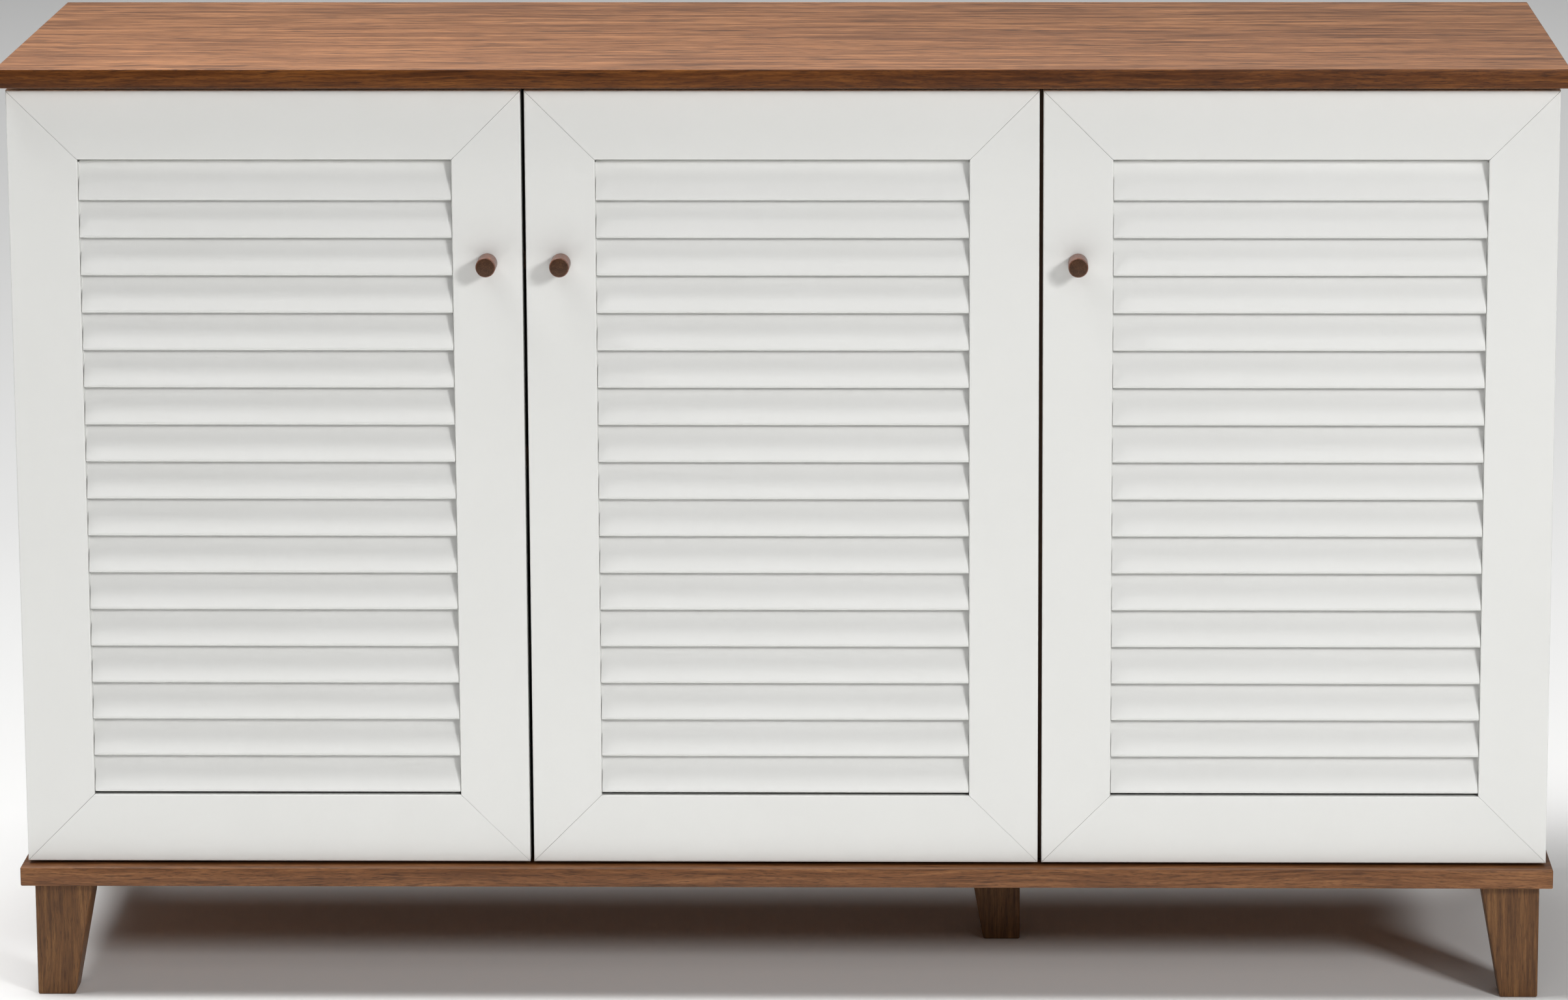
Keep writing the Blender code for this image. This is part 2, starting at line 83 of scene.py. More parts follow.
def add_node(tree: bpy.types.NodeTree, kind: str, links: dict | None = None,
             **settings: object) -> bpy.types.Node:
    """Add a node with its settings, input values and incoming links.

    Args:
        tree: the node tree that takes the node.
        kind: the node's type name.
        links: input name or index to an output socket, or to a plain value.
        settings: attributes of the node, such as operation or blend_type.

    Returns:
        The new node.
    """
    node = tree.nodes.new(kind)
    for name, value in settings.items():
        setattr(node, name, value)
    for name, value in (links or {}).items():
        if isinstance(value, bpy.types.NodeSocket):
            tree.links.new(value, node.inputs[name])
        else:
            node.inputs[name].default_value = value
    return node


def ramp(tree: bpy.types.NodeTree, factor: bpy.types.NodeSocket,
         stops: list[tuple[float, str]]) -> bpy.types.Node:
    """Add a colour ramp with the given stops.

    Args:
        tree: the node tree that takes the ramp.
        factor: the socket that drives it.
        stops: positions with their sRGB hex colours.

    Returns:
        The ramp node.
    """
    node = add_node(tree, "ShaderNodeValToRGB", {"Fac": factor})
    elements = node.color_ramp.elements
    while len(elements) < len(stops):
        elements.new(0.5)
    for element, (position, colour) in zip(elements, stops):
        element.position = position
        element.color = linear(colour)
    return node


def blank_material(name: str) -> tuple[bpy.types.Material, bpy.types.NodeTree, bpy.types.Node]:
    """Make a material that holds one Principled shader.

    Args:
        name: the material's name.

    Returns:
        The material, its node tree and the Principled node.
    """
    material = bpy.data.materials.new(name)
    material.use_nodes = True
    tree = material.node_tree
    return material, tree, tree.nodes["Principled BSDF"]


def plug(tree: bpy.types.NodeTree, shader: bpy.types.Node, name: str,
         socket: bpy.types.NodeSocket) -> None:
    """Link a socket into a named input of the shader.

    Args:
        tree: the node tree that holds both.
        shader: the shader node.
        name: the input's name.
        socket: the output to link.
    """
    tree.links.new(socket, shader.inputs[name])


# ---------------------------------------------------------------- finishes


@dataclass(frozen=True)
class WoodGrain:
    """Printed walnut laminate or stained wood, with grain along one axis.

    Slow bands of lighter and darker wood lie under finer streaks, and short dark
    pores are cut over both. Real pores are about 0.3 mm across, too fine to show
    from a few metres, so half of them are drawn a few times as wide.
    """

    name: str
    along: Axis
    dark: str
    middle: str
    light: str
    pore: str
    roughness: float = 0.42
    refraction: float = 1.38
    band_width: float = 16 * MM
    band_length: float = 420 * MM
    streak_width: float = 2.4 * MM
    streak_length: float = 90 * MM
    dash_width: float = 1.3 * MM
    dash_length: float = 22 * MM
    pore_width: float = 0.35 * MM
    pore_length: float = 9 * MM
    pore_strength: float = 0.6
    streak_share: float = 0.6
    bump: float = 0.08
    relief: float = 0.15 * MM
    sway: float = 14 * MM
    sway_width: float = 70 * MM
    sway_length: float = 190 * MM
    spread: float = 0.14
    dash_from: float = 0.56
    pore_from: float = 0.53
    cut_softness: float = 0.13
    offset: float = 0.0

    def stretched(self, tree: bpy.types.NodeTree, position: bpy.types.NodeSocket,
                  width: float, length: float) -> bpy.types.NodeSocket:
        """Scale a position so that a noise cell is wide across and long along the grain.

        Args:
            tree: the node tree.
            position: the surface position in metres.
            width: the cell's size across the grain, in metres.
            length: the cell's size along the grain, in metres.

        Returns:
            The scaled position.
        """
        scale = [1 / width] * 3
        scale[self.along.value] = 1 / length
        node = add_node(tree, "ShaderNodeMapping",
                        {"Vector": position, "Scale": scale,
                         "Location": (self.offset, self.offset * 0.7, self.offset * 1.3)})
        return node.outputs["Vector"]

    def swayed(self, tree: bpy.types.NodeTree,
               position: bpy.types.NodeSocket) -> bpy.types.NodeSocket:
        """Let the grain wander sideways by a few millimetres, as it does round old knots.

        Args:
            tree: the node tree.
            position: the surface position in metres.

        Returns:
            The shifted position.
        """
        slow = add_node(tree, "ShaderNodeTexNoise", {
            "Vector": self.stretched(tree, position, self.sway_width, self.sway_length),
            "Scale": 1.0, "Detail": 1.0})
        centred = add_node(tree, "ShaderNodeVectorMath", {
            0: slow.outputs["Color"], 1: (0.5, 0.5, 0.5)}, operation="SUBTRACT")
        scaled = add_node(tree, "ShaderNodeVectorMath", {
            0: centred.outputs["Vector"], "Scale": self.sway}, operation="SCALE")
        moved = add_node(tree, "ShaderNodeVectorMath", {
            0: position, 1: scaled.outputs["Vector"]}, operation="ADD")
        return moved.outputs["Vector"]

    def build(self) -> bpy.types.Material:
        """Build the material.

        Returns:
            The finished material.
        """
        material, tree, shader = blank_material(self.name)
        still = add_node(tree, "ShaderNodeTexCoord").outputs["Object"]
        position = self.swayed(tree, still)
        bands = add_node(tree, "ShaderNodeTexNoise", {
            "Vector": self.stretched(tree, position, self.band_width, self.band_length),
            "Scale": 1.0, "Detail": 3.0, "Roughness": 0.55, "Distortion": 0.4})
        streaks = add_node(tree, "ShaderNodeTexNoise", {
            "Vector": self.stretched(tree, position, self.streak_width, self.streak_length),
            "Scale": 1.0, "Detail": 3.0, "Roughness": 0.6, "Distortion": 0.2})
        blend = add_node(tree, "ShaderNodeMix", {
            "Factor": self.streak_share, "A": bands.outputs["Fac"],
            "B": streaks.outputs["Fac"]}, data_type="FLOAT")
        wood = ramp(tree, blend.outputs["Result"],
                    [(0.5 - self.spread, self.dark), (0.5, self.middle),
                     (0.5 + self.spread, self.light)])
        cuts = []
        for width, length, low in (
                (self.dash_width, self.dash_length, self.dash_from),
                (self.pore_width, self.pore_length, self.pore_from)):
            cells = add_node(tree, "ShaderNodeTexNoise", {
                "Vector": self.stretched(tree, position, width, length),
                "Scale": 1.0, "Detail": 2.0, "Roughness": 0.6})
            cuts.append(add_node(tree, "ShaderNodeMapRange", {
                "Value": cells.outputs["Fac"], "From Min": low, "From Max": low + self.cut_softness,
                "To Min": 0.0, "To Max": self.pore_strength}).outputs["Result"])
        cut = add_node(tree, "ShaderNodeMath", {0: cuts[0], 1: cuts[1]}, operation="MAXIMUM")
        colour = add_node(tree, "ShaderNodeMix", {
            "Factor": cut.outputs["Value"], "A": wood.outputs["Color"],
            "B": linear(self.pore)}, data_type="RGBA")
        plug(tree, shader, "Base Color", colour.outputs["Result"])
        gloss = add_node(tree, "ShaderNodeMapRange", {
            "Value": streaks.outputs["Fac"], "From Min": 0.3, "From Max": 0.7,
            "To Min": self.roughness - 0.05, "To Max": self.roughness + 0.07})
        plug(tree, shader, "Roughness", gloss.outputs["Result"])
        shader.inputs["IOR"].default_value = self.refraction
        relief = add_node(tree, "ShaderNodeBump", {
            "Height": cut.outputs["Value"], "Strength": self.bump, "Distance": self.relief},
            invert=True)
        plug(tree, shader, "Normal", relief.outputs["Normal"])
        return material


@dataclass(frozen=True)
class SatinFoil:
    """White vinyl foil pressed over fibreboard: even, satin, with a faint orange peel."""

    name: str
    colour: str
    shade: str
    roughness: float = 0.36
    peel: float = 3.5 * MM
    cloud: float = 90 * MM
    bump: float = 0.035
    refraction: float = 1.47

    def build(self) -> bpy.types.Material:
        """Build the material.

        Returns:
            The finished material.
        """
        material, tree, shader = blank_material(self.name)
        position = add_node(tree, "ShaderNodeTexCoord").outputs["Object"]
        clouds = add_node(tree, "ShaderNodeTexNoise", {
            "Vector": position, "Scale": 1 / self.cloud, "Detail": 3.0})
        tint = add_node(tree, "ShaderNodeMix", {
            "Factor": clouds.outputs["Fac"], "A": linear(self.colour),
            "B": linear(self.shade)}, data_type="RGBA")
        plug(tree, shader, "Base Color", tint.outputs["Result"])
        peel = add_node(tree, "ShaderNodeTexNoise", {
            "Vector": position, "Scale": 1 / self.peel, "Detail": 2.0})
        relief = add_node(tree, "ShaderNodeBump", {
            "Height": peel.outputs["Fac"], "Strength": self.bump, "Distance": 0.1 * MM})
        plug(tree, shader, "Normal", relief.outputs["Normal"])
        gloss = add_node(tree, "ShaderNodeMapRange", {
            "Value": clouds.outputs["Fac"], "To Min": self.roughness - 0.04,
            "To Max": self.roughness + 0.05})
        plug(tree, shader, "Roughness", gloss.outputs["Result"])
        shader.inputs["IOR"].default_value = self.refraction
        return material


@dataclass(frozen=True)
class FibreBoard:
    """Thin hardboard, pressed from wood fibre, with a speckled smooth face."""

    name: str
    colour: str
    fleck: str
    fibre: float = 1.6 * MM
    clouds_per_metre: float = 12.0
    roughness: float = 0.72

    def build(self) -> bpy.types.Material:
        """Build the material.

        Returns:
            The finished material.
        """
        material, tree, shader = blank_material(self.name)
        position = add_node(tree, "ShaderNodeTexCoord").outputs["Object"]
        flecks = add_node(tree, "ShaderNodeTexNoise", {
            "Vector": position, "Scale": 1 / self.fibre, "Detail": 4.0, "Roughness": 0.7})
        clouds = add_node(tree, "ShaderNodeTexNoise", {
            "Vector": position, "Scale": self.clouds_per_metre, "Detail": 3.0})
        speck = add_node(tree, "ShaderNodeMapRange", {
            "Value": flecks.outputs["Fac"], "From Min": 0.48, "From Max": 0.72,
            "To Min": 0.0, "To Max": 0.7})
        tint = add_node(tree, "ShaderNodeMix", {
            "Factor": speck.outputs["Result"], "A": linear(self.colour),
            "B": linear(self.fleck)}, data_type="RGBA")
        shade = add_node(tree, "ShaderNodeMix", {
            "Factor": clouds.outputs["Fac"], "A": tint.outputs["Result"],
            "B": linear(self.colour)}, data_type="RGBA")
        plug(tree, shader, "Base Color", shade.outputs["Result"])
        shader.inputs["Roughness"].default_value = self.roughness
        relief = add_node(tree, "ShaderNodeBump", {
            "Height": flecks.outputs["Fac"], "Strength": 0.12, "Distance": 0.1 * MM})
        plug(tree, shader, "Normal", relief.outputs["Normal"])
        return material


@dataclass(frozen=True)
class NickelPlate:
    """Nickel-plated pressed steel, bright with rubbed marks about 1 mm across."""

    name: str
    colour: str
    roughness: float = 0.24
    marks_per_metre: float = 900.0

    def build(self) -> bpy.types.Material:
        """Build the material.

        Returns:
            The finished material.
        """
        material, tree, shader = blank_material(self.name)
        position = add_node(tree, "ShaderNodeTexCoord").outputs["Object"]
        rub = add_node(tree, "ShaderNodeTexNoise", {
            "Vector": position, "Scale": self.marks_per_metre, "Detail": 3.0})
        gloss = add_node(tree, "ShaderNodeMapRange", {
            "Value": rub.outputs["Fac"], "To Min": self.roughness - 0.08,
            "To Max": self.roughness + 0.12})
        shader.inputs["Base Color"].default_value = linear(self.colour)
        shader.inputs["Metallic"].default_value = 1.0
        plug(tree, shader, "Roughness", gloss.outputs["Result"])
        relief = add_node(tree, "ShaderNodeBump", {
            "Height": rub.outputs["Fac"], "Strength": 0.05, "Distance": 0.05 * MM})
        plug(tree, shader, "Normal", relief.outputs["Normal"])
        return material


@dataclass(frozen=True)
class Finishes:
    """Every finish of the cabinet, built once."""

    # Walnut foil laminate, embossed and lacquered: long warm streaks under a soft sheen.
    # Its real figure is 1 to 3 mm wide and is drawn 6 to 9 mm wide, because the top is
    # seen at a low angle and finer streaks would blur into one tone.
    top_face: WoodGrain = WoodGrain(
        "walnut_laminate_top", Axis.X, "6f472d", "8f603e", "ab764e", "4e3220",
        roughness=0.46, refraction=1.45, band_width=34 * MM, band_length=560 * MM,
        streak_width=8.5 * MM, streak_length=130 * MM, dash_width=6.5 * MM,
        dash_length=52 * MM, pore_width=1.6 * MM, pore_length=24 * MM,
        pore_strength=0.8, streak_share=0.7, offset=2.0)
    # Glued edge band of the same walnut, darker and redder than the face.
    top_edge: WoodGrain = WoodGrain(
        "walnut_edge_band_top", Axis.X, "46240b", "623611", "7e4b1c", "2d1607",
        roughness=0.36, refraction=1.35, streak_length=60 * MM, band_length=240 * MM,
        pore_strength=0.75, offset=5.0)
    # The same laminate in shade: mid brown, with short close streaks.
    base_board: WoodGrain = WoodGrain(
        "walnut_laminate_base", Axis.X, "58361c", "764c2c", "92643f", "3d2515",
        roughness=0.36, refraction=1.37, streak_length=70 * MM, pore_strength=0.75,
        offset=9.0)
    # Matt melamine board, grain upright on sides and partition: quiet and even.
    carcass_up: WoodGrain = WoodGrain(
        "walnut_laminate_upright", Axis.Z, "5c3e28", "6e4c32", "7f5a3d", "443020",
        roughness=0.52, refraction=1.4, streak_width=5 * MM, dash_width=2.2 * MM,
        dash_length=34 * MM, offset=12.0)
    # The same board laid flat as shelves, grain from side to side.
    carcass_flat: WoodGrain = WoodGrain(
        "walnut_laminate_shelf", Axis.X, "5c3e28", "6e4c32", "7f5a3d", "443020",
        roughness=0.52, refraction=1.4, streak_width=5 * MM, dash_width=2.2 * MM,
        dash_length=34 * MM, offset=15.0)
    # Solid hardwood stained walnut, sanded and oiled: open pores, low sheen.
    leg: WoodGrain = WoodGrain(
        "walnut_stained_leg", Axis.Z, "52351d", "6a4728", "815b36", "3a2414",
        roughness=0.46, refraction=1.36, band_width=12 * MM, band_length=160 * MM,
        streak_length=55 * MM, dash_length=14 * MM, offset=20.0)
    # Turned and lacquered walnut, long grain on the knob's side: painted lighter as the light from
    # above falls on it, and glossy.
    knob: WoodGrain = WoodGrain(
        "walnut_turned_side_painted_light", Axis.Y, "5e3a2c", "744a39", "885a46", "462b20",
        roughness=0.34, refraction=1.45, band_width=5 * MM, band_length=40 * MM,
        streak_width=1.2 * MM, streak_length=30 * MM, dash_width=0.7 * MM,
        dash_length=12 * MM, offset=25.0)
    # End grain on the knob's face: darker because end grain drinks more stain, and painted darker
    # still as the shade the face stands in, so it is nearly black-brown.
    knob_end: WoodGrain = WoodGrain(
        "walnut_end_grain_painted_shade", Axis.Y, "39220f", "4a2f1c", "5d3d27", "201309",
        roughness=0.34, refraction=1.4, band_width=4 * MM, band_length=40 * MM,
        streak_width=0.9 * MM, streak_length=30 * MM, dash_width=0.6 * MM,
        dash_length=12 * MM, offset=27.0)
    # Vinyl foil, vacuum-pressed over fibreboard: a slightly warm, even satin white.
    door: SatinFoil = SatinFoil("white_satin_foil", "e9e9e6", "e5e5e2")
    # Foil wrapped round the slats, a shade cooler than the frame's.
    slat: SatinFoil = SatinFoil("white_satin_foil_slat", "e9e9e7", "e5e5e2")
    # Pressed hardboard, its smooth side out: brown, flat and finely speckled.
    back: FibreBoard = FibreBoard("brown_hardboard", "7a5c44", "5c4230")
    # Nickel plate on pressed steel hinges, screws, pegs and pins: bright and cool.
    nickel: NickelPlate = NickelPlate("nickel_plated_steel", "c9c8c6")

    def build_all(self) -> dict[str, bpy.types.Material]:
        """Build each finish.

        Returns:
            Field name to finished material.
        """
        return {item.name: getattr(self, item.name).build() for item in fields(self)}


# ---------------------------------------------------------------- modelling helpers


def clear_selection() -> None:
    """Leave edit mode and deselect every object."""
    if bpy.context.object and bpy.context.object.mode != "OBJECT":
        bpy.ops.object.mode_set(mode="OBJECT")
    bpy.ops.object.select_all(action="DESELECT")


def settle(piece: bpy.types.Object) -> bpy.types.Object:
    """Put a piece's place, turn and size into its mesh.

    Args:
        piece: the object to settle.

    Returns:
        The same object, at the origin.
    """
    clear_selection()
    piece.select_set(True)
    bpy.context.view_layer.objects.active = piece
    bpy.ops.object.transform_apply(location=True, rotation=True, scale=True)
    return piece


def add_box(name: str, low: Vector, high: Vector) -> bpy.types.Object:
    """Add a box between two corners, with its place in its mesh.

    Args:
        name: the object's name.
        low: the lowest corner.
        high: the highest corner.

    Returns:
        The box.
    """
    clear_selection()
    centre = (Vector(low) + Vector(high)) / 2
    bpy.ops.mesh.primitive_cube_add(size=1, location=centre)
    piece = bpy.context.object
    piece.name = name
    piece.scale = Vector(high) - Vector(low)
    return settle(piece)


def select_where(piece: bpy.types.Object, kind: str, test: Test) -> int:
    """Enter edit mode with only the vertices, edges or faces that pass a test.

    Args:
        piece: the object to edit.
        kind: "VERT", "EDGE" or "FACE".
        test: a function of the element and the mesh.

    Returns:
        The number of elements selected.
    """
    clear_selection()
    piece.select_set(True)
    bpy.context.view_layer.objects.active = piece
    mesh = piece.data
    bpy.ops.object.mode_set(mode="EDIT")
    bpy.ops.mesh.select_mode(type=kind)
    bpy.ops.mesh.select_all(action="DESELECT")
    bpy.ops.object.mode_set(mode="OBJECT")
    items = {"VERT": mesh.vertices, "EDGE": mesh.edges, "FACE": mesh.polygons}[kind]
    chosen = 0
    for item in items:
        item.select = bool(test(item, mesh))
        chosen += item.select
    bpy.ops.object.mode_set(mode="EDIT")
    return chosen


def end_edit() -> None:
    """Return to object mode."""
    bpy.ops.object.mode_set(mode="OBJECT")


def bevel_edges(piece: bpy.types.Object, width: float, segments: int,
                test: Test = lambda edge, mesh: True) -> None:
    """Round the edges that pass a test.

    Args:
        piece: the object to edit.
        width: the bevel's width in metres.
        segments: how many facets the round has.
        test: a function of the edge and the mesh.
    """
    if select_where(piece, "EDGE", test):
        bpy.ops.mesh.bevel(offset=width, segments=segments, profile=0.5, affect="EDGES")
    end_edit()


def smooth(piece: bpy.types.Object, degrees: float = 32.0) -> None:
    """Shade a piece smooth, with its real corners kept sharp.

    Args:
        piece: the object to shade.
        degrees: the angle between faces past which an edge stays sharp.
    """
    clear_selection()
    piece.select_set(True)
    bpy.context.view_layer.objects.active = piece
    bpy.ops.object.shade_smooth_by_angle(angle=math.radians(degrees))


def dress(piece: bpy.types.Object, *materials: bpy.types.Material) -> None:
    """Give a piece its materials, in slot order.

    Args:
        piece: the object to dress.
        materials: the finished materials.
    """
    piece.data.materials.clear()
    for material in materials:
        piece.data.materials.append(material)


def copy_of(piece: bpy.types.Object, name: str, shift: Vector) -> bpy.types.Object:
    """Copy a piece with its own mesh, moved by a shift.

    Args:
        piece: the object to copy.
        name: the copy's name.
        shift: how far the copy is moved.

    Returns:
        The copy, at the origin.
    """
    made = piece.copy()
    made.data = piece.data.copy()
    made.name = name
    made.data.name = name
    bpy.context.scene.collection.objects.link(made)
    made.data.transform(Matrix.Translation(shift))
    return made


def join(pieces: list[bpy.types.Object], name: str) -> bpy.types.Object:
    """Join pieces into one object.

    Args:
        pieces: the objects to join; the first one keeps its place.
        name: the joined object's name.

    Returns:
        The joined object.
    """
    clear_selection()
    for piece in pieces:
        piece.select_set(True)
    bpy.context.view_layer.objects.active = pieces[0]
    bpy.ops.object.join()
    joined = bpy.context.object
    joined.name = name
    joined.data.name = name
    return joined


def edge_runs(edge: bpy.types.MeshEdge, mesh: bpy.types.Mesh, axis: Axis) -> bool:
    """Tell whether an edge runs along an axis.

    Args:
        edge: the edge to test.
        mesh: the mesh that it belongs to.
        axis: the axis to compare it with.

    Returns:
        True when its two ends differ along that axis only.
    """
    a, b = (mesh.vertices[i].co for i in edge.vertices)
    return all(abs(a[i] - b[i]) < FLUSH for i in range(3) if i != axis.value)


# ---------------------------------------------------------------- sub-assemblies


@dataclass
class EdgedBoard:
    """A laminated board with bands glued round its four edges."""

    node: str
    name: str
    record_slot: str
    face: str
    band: str
    arris: float = 1.1 * MM

    def build(self, finishes: dict[str, bpy.types.Material]) -> bpy.types.Object:
        """Model the board and its bands.

        Args:
            finishes: the finished materials.

        Returns:
            The board.
        """
        low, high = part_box(self.node)
        board = add_box(self.name, Vector(low), Vector(high))
        bevel_edges(board, self.arris, 4)
        smooth(board)
        dress(board, finishes[self.face], finishes[self.band])
        for polygon in board.data.polygons:
            polygon.material_index = 0 if abs(polygon.normal.z) > 0.8 else 1
        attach(board, "carcass")
        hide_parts(self.node)
        return board


@dataclass
class Leg:
    """A square leg, tapered to its foot, with rounded arrises."""

    node: str
    arris: float = 1.6 * MM
    foot_slice: float = 0.25 * MM

    def build(self, finishes: dict[str, bpy.types.Material]) -> bpy.types.Object:
        """Model the leg from its CAD outline.

        Args:
            finishes: the finished materials.

        Returns:
            The leg.
        """
        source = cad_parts[self.node]
        low, high = (Vector(c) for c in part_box(self.node))
        foot = [v.co for v in source.data.vertices if v.co.z < low.z + self.foot_slice]
        inset_x = (min(c.x for c in foot) - low.x, high.x - max(c.x for c in foot))
        inset_y = (min(c.y for c in foot) - low.y, high.y - max(c.y for c in foot))
        round_in = min(*inset_x, *inset_y)
        leg = add_box(f"{self.node}_tapered", low, high)
        for side, sign in ((0, 1), (1, -1)):
            for axis, insets in ((Axis.X, inset_x), (Axis.Y, inset_y)):
                wall = (low, high)[side][axis.value]
                select_where(leg, "VERT", lambda v, m, w=wall, a=axis: (
                    v.co.z < low.z + FLUSH and abs(v.co[a.value] - w) < FLUSH))
                shift = Vector((0, 0, 0))
                shift[axis.value] = sign * max(insets[side] - round_in, 0.0)
                bpy.ops.transform.translate(value=shift)
                end_edit()
        bevel_edges(leg, self.arris, 4, lambda e, m: not all(
            m.vertices[i].co.z > high.z - FLUSH for i in e.vertices))
        smooth(leg)
        dress(leg, finishes["leg"])
        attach(leg, "carcass")
        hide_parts(self.node)
        return leg


@dataclass
class Louvres:
    """The fixed slats of one door, tied by a strip at each end."""

    door: str
    slats: int = 17
    thickness: float = 5 * MM
    tilt: float = math.radians(16.5)
    lap: float = 2 * MM
    strip: float = 3 * MM
    strip_gap: float = 1 * MM
    recess: float = 0.5 * MM
    clearance: float = 0.3 * MM
    round_share: float = 0.36
    end_arris: float = 0.3 * MM
    tie_half: float = 1.6 * MM
    tie_short: float = 1.5 * MM

    def build(self, finishes: dict[str, bpy.types.Material]) -> bpy.types.Object:
        """Model one slat, repeat it up the door, and tie the row.

        Args:
            finishes: the finished materials.

        Returns:
            The louvre panel.
        """
        node = f"{self.door}_louvres"
        low, high = (Vector(c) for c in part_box(node))
        height = high.z - low.z
        rise = (height - self.lap) / self.slats + self.lap
        width = (rise - self.thickness * math.sin(self.tilt)) / math.cos(self.tilt)
        side = self.strip + self.strip_gap + self.clearance
        centre = (low + high) / 2
        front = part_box(f"{self.door}_top_rail")[0][1] + self.recess
        depth = width * math.sin(self.tilt) + self.thickness * math.cos(self.tilt)
        middle = Vector((centre.x, front + depth / 2, low.z + rise / 2))
        half = Vector(((high.x - low.x) / 2 - side, self.thickness / 2, width / 2))
        slat = add_box(f"{self.door}_slat", -half, half)
        bevel_edges(slat, self.thickness * self.round_share, 6,
                    lambda e, m: edge_runs(e, m, Axis.X))
        bevel_edges(slat, self.end_arris, 1, lambda e, m: all(
            abs(abs(m.vertices[i].co.x) - half.x) < FLUSH for i in e.vertices))
        slat.data.transform(Matrix.Translation(middle) @ Matrix.Rotation(-self.tilt, 4, "X"))
        pitch = rise - self.lap
        row = [slat]
        for count in range(1, self.slats):
            row.append(copy_of(slat, f"{self.door}_slat_{count}",
                               Vector((0, 0, pitch * count))))
        for sign in (-1, 1):
            outer = centre.x + sign * (high.x - low.x) / 2
            inner = outer - sign * (self.strip + self.strip_gap + 2 * self.clearance)
            xs = sorted((outer, inner))
            row.append(add_box(
                f"{self.door}_tie",
                Vector((xs[0], middle.y - self.tie_half, low.z + self.tie_short)),
                Vector((xs[1], middle.y + self.tie_half, high.z - self.tie_short))))
        panel = join(row, f"{self.door}_slatted_panel")
        smooth(panel, 40)
        dress(panel, finishes["slat"])
        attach(panel, self.door)
        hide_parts(node)
        return panel


@dataclass
class MitreJoints:
    """The glue lines that close the four mitres of one door's frame."""

    door: str
    thickness: float = 0.26 * MM
    sunk: float = 0.12 * MM
    short: float = 2.4 * MM
    arris: float = 0.06 * MM

    def build(self, finishes: dict[str, bpy.types.Material]) -> bpy.types.Object:
        """Model one line and turn it into each corner.

        Args:
            finishes: the finished materials.

        Returns:
            The four lines as one piece.
        """
        low, _ = (Vector(c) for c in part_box(f"{self.door}_bottom_rail"))
        _, high = (Vector(c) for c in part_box(f"{self.door}_top_rail"))
        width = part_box(f"{self.door}_bottom_rail")[1].z - low.z
        reach = width * math.sqrt(2) / 2 - self.short
        lines = []
        for across, at_x in ((1, low.x), (-1, high.x)):
            for up, at_z in ((1, low.z), (-1, high.z)):
                half = Vector((reach, (high.y - low.y) / 2 - self.sunk, self.thickness / 2))
                line = add_box(f"{self.door}_glue_line", -half, half)
                bevel_edges(line, self.arris, 1, lambda e, m: edge_runs(e, m, Axis.X))
                line.data.transform(
                    Matrix.Translation((at_x + across * width / 2, (low.y + high.y) / 2,
                                        at_z + up * width / 2))
                    @ Matrix.Rotation(-across * up * math.pi / 4, 4, "Y"))
                lines.append(line)
        joints = join(lines, f"{self.door}_mitre_joints")
        dress(joints, finishes["door"])
        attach(joints, self.door)
        return joints


@dataclass
class Knob:
    """A turned wooden knob: a short cylinder with an eased face."""

    door: str
    ease: float = 1.0 * MM
    facets: int = 64

    def build(self, finishes: dict[str, bpy.types.Material]) -> bpy.types.Object:
        """Model the knob.

        Args:
            finishes: the finished materials.

        Returns:
            The knob.
        """
        node = f"{self.door}_knob"
        low, high = (Vector(c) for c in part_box(node))
        centre = (low + high) / 2
        clear_selection()
        bpy.ops.mesh.primitive_cylinder_add(
            vertices=self.facets, radius=(high.x - low.x) / 2, depth=high.y - low.y,
            location=centre, rotation=(math.radians(90), 0, 0))
        knob = settle(bpy.context.object)
        knob.name = f"{self.door}_turned_knob"
        bevel_edges(knob, self.ease, 5, lambda e, m: all(
            m.vertices[i].co.y < low.y + FLUSH for i in e.vertices))
        smooth(knob)
        dress(knob, finishes["knob"], finishes["knob_end"])
        # The face gets the end grain with its painted shade; the round side gets the walnut painted
        # lighter as if lit from above.
        for polygon in knob.data.polygons:
            polygon.material_index = 1 if polygon.normal.y < -0.9 else 0
        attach(knob, self.door)
        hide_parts(node)
        return knob


